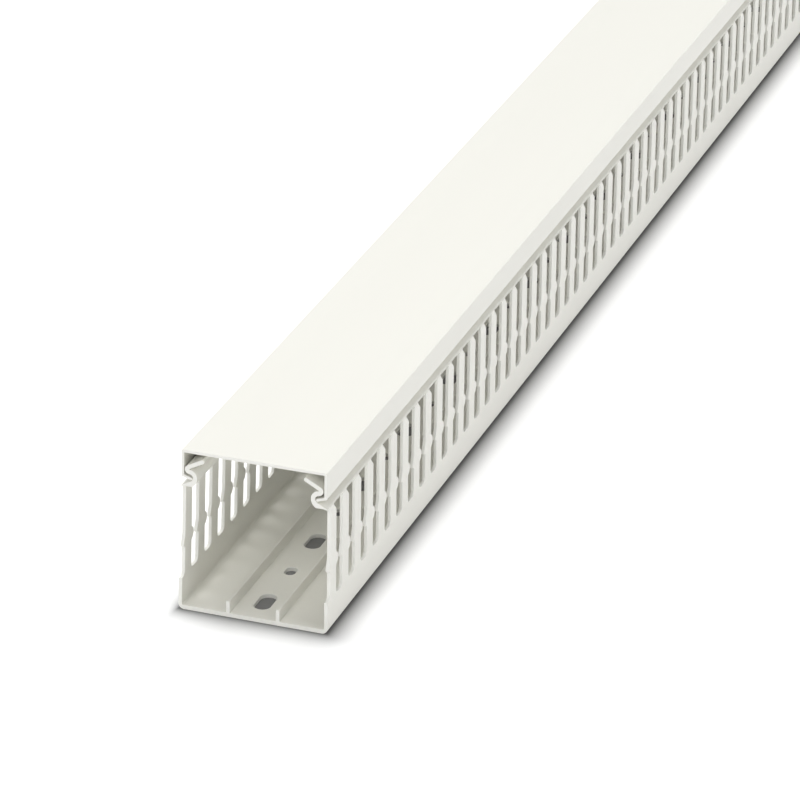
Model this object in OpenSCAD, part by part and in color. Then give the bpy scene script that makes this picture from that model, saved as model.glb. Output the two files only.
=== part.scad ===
// Slotted wiring duct: a channel with slotted side walls and a clip-on cover.
// X runs across the duct, Y along it and Z up. The origin is at the middle of the underside.

/* [Overall] */
// Length of the stock
length = 1000; // [100:12.5:2000]
// Width of the channel across its floor
base_w = 54; // [46:1:100]
// Height over the cover
overall_h = 60; // [48:1:100]

/* [Channel] */
// Thickness of the floor
floor_t = 1.5; // [1.2:0.1:2.4]
// Thickness of the side walls
wall_t = 1.2; // [0.9:0.1:1.6]
// Inward lean of each wall from floor to top
wall_lean = 0.5; // [0:0.1:1.2]
// Radius of the channel's bottom edges, along the middle of the sheet
corner_r = 1.3; // [0.9:0.1:3]
// Height of the two ribs above the floor
rib_h = 4.4; // [2:0.1:7]
// Thickness of the ribs
rib_t = 1.3; // [1:0.1:2.5]
// Distance from the duct's middle to each rib's middle
rib_x = 9; // [7:0.5:12]

/* [Snap rail] */
// Radius of the crease between wall and shoulder, along the middle of the sheet
crease_r = 0.7; // [0.7:0.1:1.2]
// Flat stretch of the shoulder
shoulder_len = 2.5; // [2:0.1:3.5]
// Slope of the shoulder
shoulder_slope = 18; // [14:1:24]
// Thickness of the shoulder's upper end
shoulder_t = 2; // [1.4:0.1:2.2]
// Radius of the bend from shoulder to neck, along the middle of the sheet
neck_r = 2.8; // [2:0.1:3.2]
// Thickness of the neck
neck_t = 1.4; // [1.2:0.1:1.7]
// Radius of the bend from neck to head, along the middle of the sheet
head_r = 2.1; // [1.5:0.1:2.4]
// Flat stretch of the snap head between the neck and the fold
head_len = 0.6; // [0.4:0.1:1.5]
// Slope of the snap head
head_slope = 14; // [10:1:20]
// Thickness of the snap head
head_t = 1.7; // [1.2:0.1:1.7]
// Radius of the fold between the head and the arm, along the middle of the sheet
fold_r = 0.9; // [0.9:0.1:1.2]
// Flat stretch of the spring arm
arm_len = 5.6; // [4:0.1:8]
// Slope of the spring arm
arm_slope = 28; // [22:1:35]
// Thickness of the spring arm
arm_t = 1.4; // [1:0.1:1.7]

/* [Wall slots] */
// Distance between slots
slot_pitch = 12.5; // [10:0.5:20]
// Width of a slot
slot_w = 6.5; // [5:0.1:8]
// Height of the slots' lower ends above the underside
slot_sill = 11.7; // [8:0.1:18]
// Height of the uncut wall between a slot and the crease above it
slot_land = 0.1; // [0:0.1:3]
// Radius of a slot's lower corners
slot_r = 1.8; // [0.5:0.1:2.4]
// Height of the wire grips above the slots' lower ends
grip_z = 10.8; // [9:0.1:16]
// Height of the wire grips, a bump and a barb that face each other in each slot
grip_h = 5; // [3:0.5:7]
// Reach of the bump into the slot
bump_d = 1.9; // [0.5:0.1:2.2]
// Reach of the barb into the slot
barb_d = 1.6; // [0.5:0.1:2]
// Width of the break-off notch beside each slot's upper end
notch_w = 2.8; // [1:0.1:3]
// Distance from the front end to the middle of the slot that it cuts through
first_slot = -0.7; // [-2:0.1:2]

/* [Floor holes] */
// Distance between floor holes, which are long and short by turns
hole_pitch = 25; // [25:2.5:50]
// Width of a long hole
long_hole_w = 6; // [4:0.1:7]
// Length of a long hole
long_hole_len = 12; // [8:0.5:16]
// Width of a short hole
short_hole_w = 4; // [3:0.1:6]
// Length of a short hole
short_hole_len = 6; // [6:0.5:12]

/* [Cover] */
// Thickness of the cover's top
cover_t = 1.15; // [0.8:0.05:1.6]
// Thickness of the cover's sides and hooks
side_t = 0.9; // [0.8:0.1:1.2]
// Height of the cover's sides
side_h = 9.9; // [9.6:0.1:10.2]
// Slope of the hooks
hook_slope = 17; // [8:1:20]
// Gap between the cover and the rail
fit_gap = 0.35; // [0.2:0.05:0.5]
// Gap between the cover and the tips of the spring arms
arm_gap = 1.8; // [0.3:0.1:2]

/* [Hidden] */
plastic = [0.93, 0.93, 0.90];
cut = 1;
arc_step = 18;

// Direction at an angle from +X
function toward(a) = [cos(a), sin(a)];

function last(list) = list[len(list) - 1];

function flat(p) = [p[0], p[1]];

// A sheet is drawn by its middle line, as [points, direction], where a point is [x, y, thickness].
// This adds a straight stretch, to thickness t
function ahead(path, run, t) =
    let (p = flat(last(path[0])) + run * toward(path[1]))
    [concat(path[0], [[p[0], p[1], t]]), path[1]];

// This adds a bend by angle a with radius r, to thickness t. It turns to the left where a is positive
function bend(path, a, r, t) =
    let (start = last(path[0]), out = sign(a) * r, side = path[1] + 90, steps = ceil(abs(a) / arc_step))
    [concat(path[0], [for (i = [1:steps])
        let (p = flat(start) + out * (toward(side) - toward(side + a * i / steps)))
        [p[0], p[1], start[2] + (t - start[2]) * i / steps]]), path[1] + a];

// Leftward step at point i of a line, long enough to keep both edges beside it parallel
function leftward(line, i) =
    let (before = i > 0 ? flat(line[i] - line[i - 1]) : flat(line[1] - line[0]),
         after = i < len(line) - 1 ? flat(line[i + 1] - line[i]) : before,
         a = before / norm(before),
         b = after / norm(after),
         mid = (a + b) / norm(a + b))
    [-mid[1], mid[0]] / (mid * a);

// Half circle round the end of a line, from its right side to its left
function round_end(line) =
    let (end = last(line), step = end - line[len(line) - 2], a = atan2(step[1], step[0]))
    [for (i = [1:5]) flat(end) + end[2] / 2 * toward(a - 90 + i * 30)];

function reversed(list) = [for (i = [len(list) - 1:-1:0]) list[i]];

// One edge of a sheet, on its right where side is -1 and on its left where it is 1
function edge(line, side) =
    [for (i = [0:len(line) - 1]) flat(line[i]) + side * leftward(line, i) * line[i][2] / 2];

// Right half of a sheet's outline
function half_outline(line) = concat(edge(line, -1), round_end(line), reversed(edge(line, 1)));

// A sheet that is alike on both sides of X = 0, extruded along the duct
module extrusion(line) {
    right = half_outline(line);
    left = [for (p = reversed(right)) [-p[0], p[1]]];
    translate([0, length / 2, 0])
        rotate([90, 0, 0])
            linear_extrude(length)
                polygon(concat(right, left));
}

// The snap rail's middle line, from [0, 0] at the top of the wall
crease = bend([[[0, 0, wall_t]], 90], 90 - shoulder_slope, crease_r, wall_t);
shoulder = ahead(crease, shoulder_len, shoulder_t);
neck = bend(shoulder, shoulder_slope - 90, neck_r, neck_t);
head = ahead(bend(neck, head_slope - 90, head_r, head_t), head_len, head_t);
fold = bend(head, 180 - head_slope - arm_slope, fold_r, arm_t);
rail = ahead(fold, arm_len, arm_t)[0];
rail_h = last(rail)[1] + arm_t / 2;

// The channel's middle line, from the middle of the floor to the tip of the spring arm
wall_h = overall_h - cover_t - arm_gap - rail_h - floor_t / 2;
lean = atan(wall_lean / wall_h);
floor_end = (base_w - wall_t) / 2 - corner_r * tan(45 + lean / 2);
floor_line = ahead([[[0, floor_t / 2, floor_t]], 0], floor_end, floor_t);
wall = ahead(bend(floor_line, 90 + lean, corner_r, wall_t), (wall_h - corner_r) / cos(lean), wall_t)[0];
wall_top = last(wall);
channel_line = concat(wall, [for (i = [1:len(rail) - 1]) [wall_top[0], wall_top[1], 0] + rail[i]]);

// Where the snap head and the neck stand, which the cover's sides and hooks keep clear of
head_x = wall_top[0] + max([for (i = [len(head[0]) - 1:len(rail) - 1]) rail[i][0] + rail[i][2] / 2]);
neck_x = wall_top[0] + last(neck[0])[0] + neck_t / 2;

// The cover's middle line, from the middle of its top to the tip of its hook
side_x = head_x + fit_gap + side_t / 2;
side_end = overall_h - side_h + side_t / 2 * tan(45 - hook_slope / 2);
hook_len = (side_x - side_t / 2 - neck_x - fit_gap) / cos(hook_slope);
cover_y = overall_h - cover_t / 2;
side_line = [[[0, cover_y, cover_t], [side_x, cover_y, side_t], [side_x, side_end, side_t]], hook_slope - 180];
cover_line = ahead(side_line, hook_len, side_t)[0];

// Slots, counted from the one that the front end cuts through
slot_top = wall_top[1] + crease_r - slot_land;
slot_count = floor(length / slot_pitch);
hole_count = floor((length - long_hole_len) / hole_pitch + 0.5);

function front(d) = d - length / 2;

// Outline of a wall slot, with X along the duct and Y up
module slot_outline() {
    w = slot_w / 2;
    grip = slot_sill + grip_z;
    bump_r = (bump_d ^ 2 + (grip_h / 2) ^ 2) / (2 * bump_d);
    difference() {
        union() {
            polygon([[slot_r - w, slot_sill], [w - slot_r, slot_sill], [w, slot_sill + slot_r], [w, slot_top],
                     [-w - notch_w, slot_top], [-w, slot_top - notch_w], [-w, slot_sill + slot_r]]);
            for (side = [-1, 1])
                translate([side * (w - slot_r), slot_sill + slot_r])
                    circle(slot_r, $fn = 48);
        }
        translate([bump_d - w - bump_r, grip + grip_h / 2])
            circle(bump_r, $fn = 48);
        polygon([[w + cut, grip], [w - barb_d, grip + 0.1 * grip_h], [w, grip + grip_h], [w + cut, grip + grip_h]]);
    }
}

// A hole with round ends that goes down through the floor at [0, y]
module floor_hole(y, w, len) {
    translate([0, y, -cut])
        linear_extrude(floor_t + 2 * cut)
            union() {
                square([w, len - w], center = true);
                for (end = [-1, 1])
                    translate([0, end * (len - w) / 2])
                        circle(d = w, $fn = 48);
            }
}

module channel() {
    color(plastic)
        difference() {
            union() {
                extrusion(channel_line);
                for (side = [-1, 1])
                    translate([side * rib_x - rib_t / 2, -length / 2, floor_t / 2])
                        cube([rib_t, length, floor_t / 2 + rib_h]);
            }
            for (i = [0:slot_count])
                translate([-base_w / 2 - cut, front(first_slot + i * slot_pitch), 0])
                    rotate([90, 0, 90])
                        linear_extrude(base_w + 2 * cut)
                            slot_outline();
            for (i = [0:hole_count - 1])
                if (i % 2 == 0)
                    floor_hole(front((i + 0.5) * hole_pitch), long_hole_w, long_hole_len);
                else
                    floor_hole(front((i + 0.5) * hole_pitch), short_hole_w, short_hole_len);
        }
}

module cover() {
    color(plastic)
        extrusion(cover_line);
}

channel();
cover();
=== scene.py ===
"""Looks of a slotted wiring duct: a slotted channel and its clip-on cover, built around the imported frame.

Lengths are in millimetres until a mesh is made. X runs across the duct, Y along it and Z up, with the origin
at the middle of the underside, as in the frame.
"""

import cmath
import math

import bmesh
import bpy
from mathutils import Matrix, Vector


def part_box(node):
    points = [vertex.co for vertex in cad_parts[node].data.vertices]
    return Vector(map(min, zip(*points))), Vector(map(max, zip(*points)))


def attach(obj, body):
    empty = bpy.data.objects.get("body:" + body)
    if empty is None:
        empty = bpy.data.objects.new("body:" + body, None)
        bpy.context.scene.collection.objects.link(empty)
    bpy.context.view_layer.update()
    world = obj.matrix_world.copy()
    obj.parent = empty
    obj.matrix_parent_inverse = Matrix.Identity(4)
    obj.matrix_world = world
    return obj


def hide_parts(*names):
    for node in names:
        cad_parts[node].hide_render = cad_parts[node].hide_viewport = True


MM = 0.001

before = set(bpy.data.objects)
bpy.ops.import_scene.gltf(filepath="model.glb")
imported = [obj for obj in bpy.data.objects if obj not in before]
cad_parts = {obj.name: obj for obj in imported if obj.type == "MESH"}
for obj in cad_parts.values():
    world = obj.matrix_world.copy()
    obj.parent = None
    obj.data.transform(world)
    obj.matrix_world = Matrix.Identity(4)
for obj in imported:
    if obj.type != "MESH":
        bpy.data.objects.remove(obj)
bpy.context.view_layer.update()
channel_low, channel_high = (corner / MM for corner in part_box("channel"))
cover_low, cover_high = (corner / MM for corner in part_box("cover"))
LENGTH = channel_high.y - channel_low.y
FRONT = channel_low.y
BASE_W = channel_high.x - channel_low.x
OVERALL_H = cover_high.z - channel_low.z

# --- Sizes, the same as the frame's ---

# The channel's profile
FLOOR_T = 1.5
WALL_T = 1.2
WALL_LEAN = 0.5
CORNER_R = 1.3
RIB_H = 4.4
RIB_T = 1.3
RIB_X = 9.0

# The snap rail along the top of each wall, with the radius of each bend along the middle of the sheet
CREASE_R = 0.7
SHOULDER_LEN = 2.5
SHOULDER_SLOPE = 18
SHOULDER_T = 2.0
NECK_R = 2.8
NECK_T = 1.4
HEAD_R = 2.1
HEAD_LEN = 0.6
HEAD_SLOPE = 14
HEAD_T = 1.7
FOLD_R = 0.9
ARM_LEN = 5.6
ARM_SLOPE = 28
ARM_T = 1.4

# The wall slots, with a bump and a barb that face each other as wire grips
SLOT_PITCH = 12.5
FIRST_SLOT = -0.7
SLOT_W = 6.5
SLOT_SILL = 11.7
SLOT_LAND = 0.1
SLOT_R = 1.8
GRIP_Z = 10.8
GRIP_H = 5.0
BUMP_D = 1.9
BARB_D = 1.6
NOTCH_W = 2.8

# The floor holes, long and short by turns, each as its width and length
HOLE_PITCH = 25.0
LONG_HOLE = (6.0, 12.0)
SHORT_HOLE = (4.0, 6.0)

# The cover
COVER_T = 1.15
SIDE_T = 0.9
SIDE_H = 9.9
HOOK_SLOPE = 17
FIT_GAP = 0.35
ARM_GAP = 1.8

# How finely curves are drawn, the least turn that counts as a corner, and the least that is shaded as sharp,
# all in degrees, and how far sharp corners and cut edges are rounded
ARC_STEP = 7.5
CORNER_STEP = 30
LEAST_CORNER = 25
SHARP_ANGLE = 24
CORNER_ROUND = 0.2
EDGE_ROUND = 0.1
# The most of a short side that the rounding of one corner takes up
MOST_OF_SIDE = 0.45
# How far cutters reach past what they cut, from outside and on the inside
CUT = 1.0
CUT_INSIDE = 5.0


# --- Profiles ---

def toward(angle):
    return cmath.rect(1, math.radians(angle))


def arc(start, heading, turn, radius, step=ARC_STEP):
    """Points of an arc after start, turning to the left where turn is positive."""
    steps = math.ceil(abs(turn) / step)
    out = math.copysign(radius, turn)
    return [start + out * (toward(heading + 90) - toward(heading + 90 + turn * i / steps))
            for i in range(1, steps + 1)]


class Sheet:
    """A bent sheet seen end on: its middle line as complex numbers x + iz, and its thickness at each point.

    ahead, bend and join draw on from its end, and each returns the sheet.
    """

    def __init__(self, start, heading, thickness):
        self.points = [start]
        self.heading = heading
        self.thickness = [thickness]

    def ahead(self, run, thickness):
        self.points.append(self.points[-1] + run * toward(self.heading))
        self.thickness.append(thickness)
        return self

    def bend(self, turn, radius, thickness):
        turned = arc(self.points[-1], self.heading, turn, radius)
        before = self.thickness[-1]
        self.points += turned
        self.thickness += [before + (thickness - before) * i / len(turned)
                           for i in range(1, len(turned) + 1)]
        self.heading += turn
        return self

    def join(self, rail):
        """Carries on with another sheet that is drawn from 0."""
        origin = self.points[-1]
        self.points += [origin + point for point in rail.points[1:]]
        self.thickness += rail.thickness[1:]
        return self

    def leftward(self, i):
        """Leftward step at a point, long enough to keep both edges beside it parallel."""
        points = self.points
        before = points[i] - points[i - 1] if i > 0 else points[1] - points[0]
        after = points[i + 1] - points[i] if i < len(points) - 1 else before
        a, b = before / abs(before), after / abs(after)
        middle = (a + b) / abs(a + b)
        return 1j * middle / (middle * a.conjugate()).real

    def outline(self):
        """Right half of the sheet's outline: its right edge, its round end and its left edge."""
        steps = [self.leftward(i) * t / 2 for i, t in enumerate(self.thickness)]
        right = [point - step for point, step in zip(self.points, steps)]
        left = [point + step for point, step in zip(self.points, steps)]
        heading = math.degrees(cmath.phase(self.points[-1] - self.points[-2]))
        end = arc(right[-1], heading, 180, self.thickness[-1] / 2)[:-1]
        return right + end + left[::-1]


def turn_at(before, corner, after):
    """How far a line turns at a corner, in degrees."""
    return math.degrees(cmath.phase((after - corner) / (corner - before)))


def rounded(outline, radius):
    """The outline with its sharp corners rounded, by less where its sides are short."""
    result = []
    for i, corner in enumerate(outline):
        before, after = outline[i - 1], outline[(i + 1) % len(outline)]
        turn = turn_at(before, corner, after)
        if abs(turn) < LEAST_CORNER:
            result.append(corner)
            continue
        sides = min(abs(corner - before), abs(after - corner))
        slant = math.tan(math.radians(abs(turn) / 2))
        run = min(radius * slant, MOST_OF_SIDE * sides)
        heading = math.degrees(cmath.phase(corner - before))
        start = corner - run * toward(heading)
        result += [start] + arc(start, heading, turn, run / slant, CORNER_STEP)
    return result


def mirrored(half):
    """Both halves of an outline whose right half starts and ends on x = 0."""
    return half + [-point.conjugate() for point in half[-2:0:-1]]


def snap_rail():
    """The snap rail's sheet, from the top of the wall at 0, and which of its points ends the neck."""
    rail = Sheet(0j, 90, WALL_T).bend(90 - SHOULDER_SLOPE, CREASE_R, WALL_T).ahead(SHOULDER_LEN, SHOULDER_T)
    rail.bend(SHOULDER_SLOPE - 90, NECK_R, NECK_T)
    neck = len(rail.points) - 1
    rail.bend(HEAD_SLOPE - 90, HEAD_R, HEAD_T).ahead(HEAD_LEN, HEAD_T)
    rail.bend(180 - HEAD_SLOPE - ARM_SLOPE, FOLD_R, ARM_T).ahead(ARM_LEN, ARM_T)
    return rail, neck


def channel_sheet():
    """The channel's sheet from the middle of the floor to the tip of the spring arm, the top of its wall, and
    how far out its neck and its snap head stand.
    """
    rail, neck = snap_rail()
    wall_h = OVERALL_H - COVER_T - ARM_GAP - rail.points[-1].imag - ARM_T / 2 - FLOOR_T / 2
    lean = math.degrees(math.atan(WALL_LEAN / wall_h))
    floor_end = (BASE_W - WALL_T) / 2 - CORNER_R * math.tan(math.radians(45 + lean / 2))
    sheet = Sheet(1j * FLOOR_T / 2, 0, FLOOR_T).ahead(floor_end, FLOOR_T).bend(90 + lean, CORNER_R, WALL_T)
    sheet.ahead((wall_h - CORNER_R) / math.cos(math.radians(lean)), WALL_T)
    wall_top = sheet.points[-1]
    neck_x = (wall_top + rail.points[neck]).real + NECK_T / 2
    head_x = wall_top.real + max(point.real + t / 2 for point, t in
                                 list(zip(rail.points, rail.thickness))[neck:])
    sheet.join(rail)
    return sheet, wall_top, neck_x, head_x


CHANNEL_SHEET, WALL_TOP, NECK_X, HEAD_X = channel_sheet()
SLOT_TOP = WALL_TOP.imag + CREASE_R - SLOT_LAND


def rib():
    """The rib's corners, from its outer foot to its inner foot."""
    half, top = RIB_T / 2, FLOOR_T + RIB_H
    return [complex(RIB_X + half, FLOOR_T), complex(RIB_X + half, top),
            complex(RIB_X - half, top), complex(RIB_X - half, FLOOR_T)]


def channel_outline():
    half = CHANNEL_SHEET.outline()
    return rounded(mirrored(half[:-1] + rib() + half[-1:]), CORNER_ROUND)


def cover_outline():
    side_x = HEAD_X + FIT_GAP + SIDE_T / 2
    side_end = OVERALL_H - SIDE_H + SIDE_T / 2 * math.tan(math.radians(45 - HOOK_SLOPE / 2))
    hook = (side_x - SIDE_T / 2 - NECK_X - FIT_GAP) / math.cos(math.radians(HOOK_SLOPE))
    middle = OVERALL_H - COVER_T / 2
    sheet = Sheet(1j * middle, 0, COVER_T).ahead(side_x, SIDE_T)
    sheet.heading = -90
    sheet.ahead(middle - side_end, SIDE_T)
    sheet.heading = HOOK_SLOPE - 180
    sheet.ahead(hook, SIDE_T)
    return rounded(mirrored(sheet.outline()), CORNER_ROUND)


# --- Meshes ---

def prism(bm, outline, place, depth):
    """Adds a closed prism and returns its faces, the two ends first.

    place turns an outline point into the near end's point, and depth leads from there to the far end.
    """
    near = [bm.verts.new(place(point)) for point in outline]
    far = [bm.verts.new(vert.co + depth) for vert in near]
    faces = [bm.faces.new(near), bm.faces.new(far[::-1])]
    for i in range(len(outline)):
        faces.append(bm.faces.new((near[i - 1], far[i - 1], far[i], near[i])))
    return faces


def finished(bm, name, materials):
    """Makes an object in metres from a bmesh in millimetres."""
    bmesh.ops.recalc_face_normals(bm, faces=bm.faces[:])
    bmesh.ops.scale(bm, vec=(MM, MM, MM), verts=bm.verts[:])
    mesh = bpy.data.meshes.new(name)
    bm.to_mesh(mesh)
    bm.free()
    for material in materials:
        mesh.materials.append(material)
    piece = bpy.data.objects.new(name, mesh)
    bpy.context.scene.collection.objects.link(piece)
    return piece


def extruded(name, outline, materials):
    """A profile that runs the length of the duct, with its sawn ends in the second material."""
    bm = bmesh.new()
    faces = prism(bm, outline, lambda point: Vector((point.real, FRONT, point.imag)), Vector((0, LENGTH, 0)))
    for face in faces[:2]:
        face.material_index = 1
    return finished(bm, name, materials)


def slot_outline():
    """Outline of a wall slot, with its place along the duct as the real part and its height as the
    imaginary part.
    """
    w = SLOT_W / 2
    grip = SLOT_SILL + GRIP_Z
    half = GRIP_H / 2
    bump_r = (BUMP_D ** 2 + half ** 2) / (2 * BUMP_D)
    bump_turn = math.degrees(2 * math.asin(half / bump_r))
    if BUMP_D > half:
        bump_turn = 360 - bump_turn
    points = [complex(SLOT_R - w, SLOT_SILL), complex(w - SLOT_R, SLOT_SILL)]
    points += arc(points[-1], 0, 90, SLOT_R)
    points += [complex(w, grip), complex(w - BARB_D, grip + 0.1 * GRIP_H), complex(w, grip + GRIP_H),
               complex(w, SLOT_TOP), complex(-w - NOTCH_W, SLOT_TOP), complex(-w, SLOT_TOP - NOTCH_W),
               complex(-w, grip + GRIP_H)]
    points += arc(points[-1], bump_turn / 2 - 90, -bump_turn, bump_r)[:-1]
    points += [complex(-w, grip), complex(-w, SLOT_SILL + SLOT_R)]
    points += arc(points[-1], -90, 90, SLOT_R)[:-1]
    return rounded(points, CORNER_ROUND)


def hole_outline(size):
    """Outline of a floor hole with round ends, along the duct as the imaginary part."""
    width, length = size
    corner = complex(width, length - width) / 2
    right = arc(corner, 90, 180, width / 2)
    return right + arc(right[-1] - 1j * (length - width), 270, 180, width / 2)


def grown(outline, by):
    """The outline moved outwards, for one that runs anticlockwise."""
    result = []
    for i, point in enumerate(outline):
        before = point - outline[i - 1]
        after = outline[(i + 1) % len(outline)] - point
        along = before / abs(before) + after / abs(after)
        result.append(point - 1j * by * along / abs(along))
    return result


def flared(bm, outline, place, depths):
    """Adds a closed cutter through a sheet between two depths, wider past both faces to ease their edges.

    place turns an outline point and a depth into a point in space.
    """
    wide = grown(outline, 2 * EDGE_ROUND)
    low, high = depths
    rings = [[bm.verts.new(place(point, depth)) for point in line] for line, depth in (
        (wide, low - CUT), (wide, low - EDGE_ROUND), (outline, low + EDGE_ROUND),
        (outline, high - EDGE_ROUND), (wide, high + EDGE_ROUND), (wide, high + CUT_INSIDE))]
    faces = [bm.faces.new(rings[0]), bm.faces.new(rings[-1][::-1])]
    for near, far in zip(rings, rings[1:]):
        for i in range(len(outline)):
            faces.append(bm.faces.new((near[i - 1], far[i - 1], far[i], near[i])))
    for face in faces:
        face.material_index = 1


def wall_face(height):
    """Where the outer face of a wall is at a height, which leans inwards."""
    rise = min(height, WALL_TOP.imag) / WALL_TOP.imag
    return BASE_W / 2 - WALL_LEAN * rise


def cutters(materials):
    """Everything that is punched out of the channel."""
    bm = bmesh.new()
    slot = slot_outline()
    for i in range(math.floor(LENGTH / SLOT_PITCH) + 1):
        y = FRONT + FIRST_SLOT + i * SLOT_PITCH
        for side in (-1, 1):
            flared(bm, slot, lambda point, depth: Vector((
                side * (wall_face(point.imag) - depth), y + point.real, point.imag)), (0, WALL_T))
    for i in range(math.floor((LENGTH - LONG_HOLE[1]) / HOLE_PITCH + 0.5)):
        y = FRONT + (i + 0.5) * HOLE_PITCH
        flared(bm, hole_outline((LONG_HOLE, SHORT_HOLE)[i % 2]), lambda point, depth: Vector((
            point.real, y + point.imag, depth)), (0, FLOOR_T))
    return finished(bm, "cutters", materials)


def applied(piece):
    """Applies a piece's modifiers to its mesh."""
    depsgraph = bpy.context.evaluated_depsgraph_get()
    mesh = bpy.data.meshes.new_from_object(piece.evaluated_get(depsgraph))
    piece.modifiers.clear()
    piece.data = mesh


def punched(piece, tool):
    """Cuts the tool out of a piece and removes the tool."""
    modifier = piece.modifiers.new("punch", "BOOLEAN")
    modifier.operation = "DIFFERENCE"
    modifier.solver = "MANIFOLD"
    modifier.object = tool
    applied(piece)
    bpy.data.objects.remove(tool)


# --- Materials ---

SKIN_COLOUR = (0.895, 0.888, 0.826)
CUT_COLOUR = (0.93, 0.925, 0.875)
# The shade of the darkest blotches, as a share of the colour
BLOTCH_SHADE = 0.975
# How far across the blotches, the drawn lines and the orange peel are
BLOTCH_SIZE = 14
LINE_SIZE = 0.5
PEEL_SIZE = 0.25
# Depth of the lines and of the orange peel
LINE_DEPTH = 0.02
PEEL_DEPTH = 0.01


def node(tree, kind, **inputs):
    """Adds a shader node, with its inputs set or linked by name."""
    made = tree.nodes.new("ShaderNode" + kind)
    for name, value in inputs.items():
        socket = made.inputs[name.replace("_", " ")]
        if isinstance(value, bpy.types.NodeSocket):
            tree.links.new(value, socket)
        else:
            socket.default_value = value
    return made


def maths(tree, operation, first, second=0.0):
    """The result of a maths node, whose inputs are numbers or sockets."""
    made = node(tree, "Math")
    made.operation = operation
    for socket, value in zip(made.inputs, (first, second)):
        if isinstance(value, bpy.types.NodeSocket):
            tree.links.new(value, socket)
        else:
            socket.default_value = value
    return made.outputs["Value"]


def remapped(tree, value, low, high):
    """A value that runs from 0 to 1, brought to run from low to high."""
    return node(tree, "MapRange", Value=value, To_Min=low, To_Max=high).outputs["Result"]


def noise(tree, place, stretch, size, detail=2.0):
    """Noise whose marks are about size millimetres across, drawn out by stretch along X, Y and Z."""
    scale = node(tree, "Mapping", Vector=place, Scale=[1 / (size * MM * along) for along in stretch])
    return node(tree, "TexNoise", Vector=scale.outputs["Vector"], Scale=1.0, Detail=detail).outputs["Fac"]


def pvc(name, colour, roughness, grain):
    """Hard near-white PVC. roughness is its least and its most, and grain the way its lines are drawn out."""
    material = bpy.data.materials.new(name)
    material.use_nodes = True
    tree = material.node_tree
    shader = tree.nodes["Principled BSDF"]
    place = node(tree, "TexCoord").outputs["Object"]
    blotches = noise(tree, place, (1, 4, 1), BLOTCH_SIZE)
    lines = noise(tree, place, grain, LINE_SIZE)
    peel = noise(tree, place, (1, 1, 1), PEEL_SIZE, 1.0)
    tone = node(tree, "MixRGB", Fac=remapped(tree, blotches, 0, 1), Color1=(*colour, 1),
                Color2=(*[BLOTCH_SHADE * part for part in colour], 1))
    shader.inputs["IOR"].default_value = 1.5
    tree.links.new(tone.outputs["Color"], shader.inputs["Base Color"])
    streaks = maths(tree, "MULTIPLY", lines, blotches)
    tree.links.new(remapped(tree, streaks, *roughness), shader.inputs["Roughness"])
    low = node(tree, "Bump", Height=lines, Strength=0.25, Distance=LINE_DEPTH * MM)
    high = node(tree, "Bump", Height=peel, Strength=0.2, Distance=PEEL_DEPTH * MM)
    tree.links.new(low.outputs["Normal"], high.inputs["Normal"])
    tree.links.new(high.outputs["Normal"], shader.inputs["Normal"])
    return material


SKIN = pvc("extruded_pvc", SKIN_COLOUR, (0.34, 0.50), (1, 400, 1))
CUT_FACE = pvc("cut_pvc", CUT_COLOUR, (0.55, 0.70), (8, 1, 8))

channel = extruded("channel_extrusion", channel_outline(), (SKIN, CUT_FACE))
punched(channel, cutters((SKIN, CUT_FACE)))
cover = extruded("cover_extrusion", cover_outline(), (SKIN, CUT_FACE))

for piece, body, cad_node in ((channel, "channel_body", "channel"), (cover, "cover_body", "cover")):
    piece.data.shade_smooth()
    piece.data.set_sharp_from_angle(angle=math.radians(SHARP_ANGLE))
    weighted = piece.modifiers.new("normals", "WEIGHTED_NORMAL")
    weighted.keep_sharp = True
    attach(piece, body)
    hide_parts(cad_node)


# --- Camera, floor and light ---

CAMERA_AZIMUTH = 18.42
CAMERA_ELEVATION = 24.48
CAMERA_ROLL = 1.34
CAMERA_DISTANCE = 1651
CAMERA_LENS = 206.4
# What it is aimed at: how far to the right of the middle and how far behind the front end
CAMERA_AIM = (8.5, 127.2)


def add_camera():
    """The camera, aimed at a point inside the duct a little behind its front end."""
    aim = Vector((CAMERA_AIM[0], FRONT + CAMERA_AIM[1], OVERALL_H / 2))
    azimuth, elevation = math.radians(CAMERA_AZIMUTH), math.radians(CAMERA_ELEVATION)
    ahead = Vector((-math.sin(azimuth) * math.cos(elevation), math.cos(azimuth) * math.cos(elevation),
                    -math.sin(elevation)))
    right = Vector((math.cos(azimuth), math.sin(azimuth), 0))
    axes = Matrix((right, right.cross(ahead), -ahead)).transposed()
    axes = axes @ Matrix.Rotation(math.radians(CAMERA_ROLL), 3, "Z")
    data = bpy.data.cameras.new("camera")
    data.lens = CAMERA_LENS
    camera = bpy.data.objects.new("camera", data)
    camera.matrix_world = Matrix.LocRotScale((aim - CAMERA_DISTANCE * ahead) * MM, axes.to_quaternion(), None)
    bpy.context.scene.collection.objects.link(camera)
    bpy.context.scene.camera = camera


add_camera()

# The floor's width, in metres
FLOOR_WIDTH = 30
# Its grey under the duct, painted shade that darkens what shows through the floor holes, and how far inside
# the duct's sides and ends that starts
UNDER_DUCT_PAINTED_SHADE = 0.25
UNDER_INSET = 2
# Its painted shade near whatever stands over it, drawn from ambient occlusion: how far that reaches and the
# power it is raised to
SHADE_REACH = 9
SHADE_DEPTH = 0.5
# Its further shade round the channel's foot, which is drawn and not cast: the distance over which it fades,
# its depth at the foot, and how many times shorter it is on the left
CONTACT_REACH = 5
CONTACT_DEPTH = 0.8
LEFT_SHORTENING = 3
# The strength of its faint glow
FLOOR_LIFT = 0.1

# The lights
SKY = 0.25
# Each sun's name, strength, spread, azimuth and elevation
SUNS = (
    ("key", 1.85, 28, -138, 78),
    ("right_fill", 0.58, 35, 90, 58),
    ("front_fill", 0.80, 35, 0, 42),
)


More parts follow.
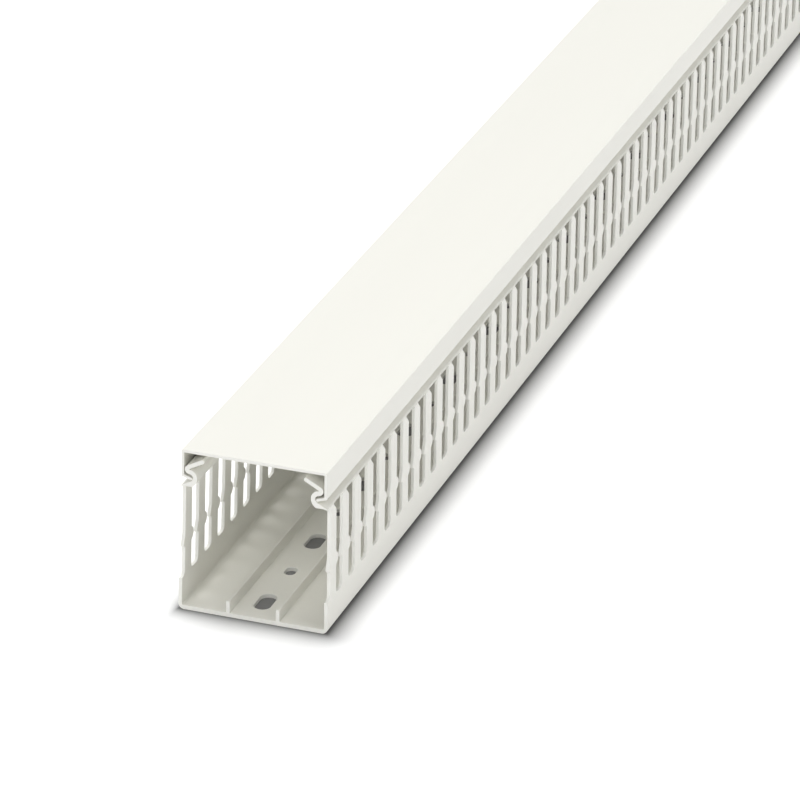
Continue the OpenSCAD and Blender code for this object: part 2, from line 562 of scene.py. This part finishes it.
def painted_shade_under_duct(tree, place):
    """1 on the floor under the duct, where it is painted grey as shade, and 0 elsewhere."""
    across = maths(tree, "LESS_THAN", maths(tree, "ABSOLUTE", place["X"]), (BASE_W / 2 - UNDER_INSET) * MM)
    along = maths(tree, "LESS_THAN", maths(tree, "ABSOLUTE", place["Y"]), (LENGTH / 2 - UNDER_INSET) * MM)
    return maths(tree, "MULTIPLY", across, along)


def contact_shade(tree, place, seen):
    """How dark the floor is drawn round the channel's foot, where seen is 1, fading away from it."""
    side, end = BASE_W / 2 * MM, LENGTH / 2 * MM
    right = maths(tree, "SUBTRACT", place["X"], side)
    left = maths(tree, "MULTIPLY", maths(tree, "ADD", place["X"], side), -LEFT_SHORTENING)
    beside = maths(tree, "MAXIMUM", maths(tree, "MAXIMUM", right, left), 0)
    beyond = maths(tree, "MAXIMUM", maths(tree, "SUBTRACT", maths(tree, "ABSOLUTE", place["Y"]), end), 0)
    squares = maths(tree, "ADD", maths(tree, "POWER", beside, 2), maths(tree, "POWER", beyond, 2))
    away = maths(tree, "MULTIPLY", maths(tree, "SQRT", squares), -1 / (CONTACT_REACH * MM))
    depth = maths(tree, "MULTIPLY", seen, CONTACT_DEPTH)
    return maths(tree, "MULTIPLY", maths(tree, "EXPONENT", away), depth)


def add_floor():
    """A white floor, painted grey as shade under the duct. Only the camera sees the shade that is drawn close
    to the duct, and its faint glow.
    """
    bpy.ops.mesh.primitive_plane_add(size=FLOOR_WIDTH)
    floor = bpy.context.object
    floor.name = "floor"
    material = bpy.data.materials.new("floor_white")
    material.use_nodes = True
    tree = material.node_tree
    seen = node(tree, "LightPath").outputs["Is Camera Ray"]
    place = node(tree, "SeparateXYZ", Vector=node(tree, "TexCoord").outputs["Object"]).outputs
    under = painted_shade_under_duct(tree, place)
    # Painted shade: ambient occlusion darkens the floor's colour near the duct, for the camera only
    openness = node(tree, "AmbientOcclusion", Distance=SHADE_REACH * MM)
    openness.samples = 6
    near = maths(tree, "POWER", openness.outputs["AO"], maths(tree, "MULTIPLY", seen, SHADE_DEPTH))
    shade = maths(tree, "MULTIPLY", near, maths(tree, "SUBTRACT", 1, contact_shade(tree, place, seen)))
    # Painted shade: the floor under the duct is grey, so the floor holes look dark
    colour = node(tree, "MixRGB", Fac=under, Color1=shade, Color2=(UNDER_DUCT_PAINTED_SHADE, UNDER_DUCT_PAINTED_SHADE, UNDER_DUCT_PAINTED_SHADE, 1))
    glow = maths(tree, "MULTIPLY", maths(tree, "MULTIPLY", shade, seen), maths(tree, "SUBTRACT", 1, under))
    shader = tree.nodes["Principled BSDF"]
    tree.links.new(colour.outputs["Color"], shader.inputs["Base Color"])
    shader.inputs["Emission Color"].default_value = (1, 1, 1, 1)
    tree.links.new(maths(tree, "MULTIPLY", glow, FLOOR_LIFT), shader.inputs["Emission Strength"])
    shader.inputs["Roughness"].default_value = 0.9
    shader.inputs["Specular IOR Level"].default_value = 0
    floor.data.materials.append(material)


def add_sun(name, strength, spread, azimuth, elevation):
    """A sun seen in the sky at an azimuth that is 0 in front of the duct and 90 on its right."""
    data = bpy.data.lights.new(name, "SUN")
    data.energy = strength
    data.angle = math.radians(spread)
    sun = bpy.data.objects.new(name, data)
    around, up = math.radians(azimuth), math.radians(elevation)
    towards = Vector((math.sin(around) * math.cos(up), -math.cos(around) * math.cos(up), math.sin(up)))
    sun.rotation_euler = towards.to_track_quat("Z", "Y").to_euler()
    bpy.context.scene.collection.objects.link(sun)


def add_sky():
    """An even white sky."""
    world = bpy.data.worlds.new("sky")
    bpy.context.scene.world = world
    world.use_nodes = True
    background = world.node_tree.nodes["Background"]
    background.inputs["Color"].default_value = (1, 1, 1, 1)
    background.inputs["Strength"].default_value = SKY


add_floor()
add_sky()
for name, strength, spread, azimuth, elevation in SUNS:
    add_sun(name, strength, spread, azimuth, elevation)

bpy.context.scene.view_settings.view_transform = "Standard"
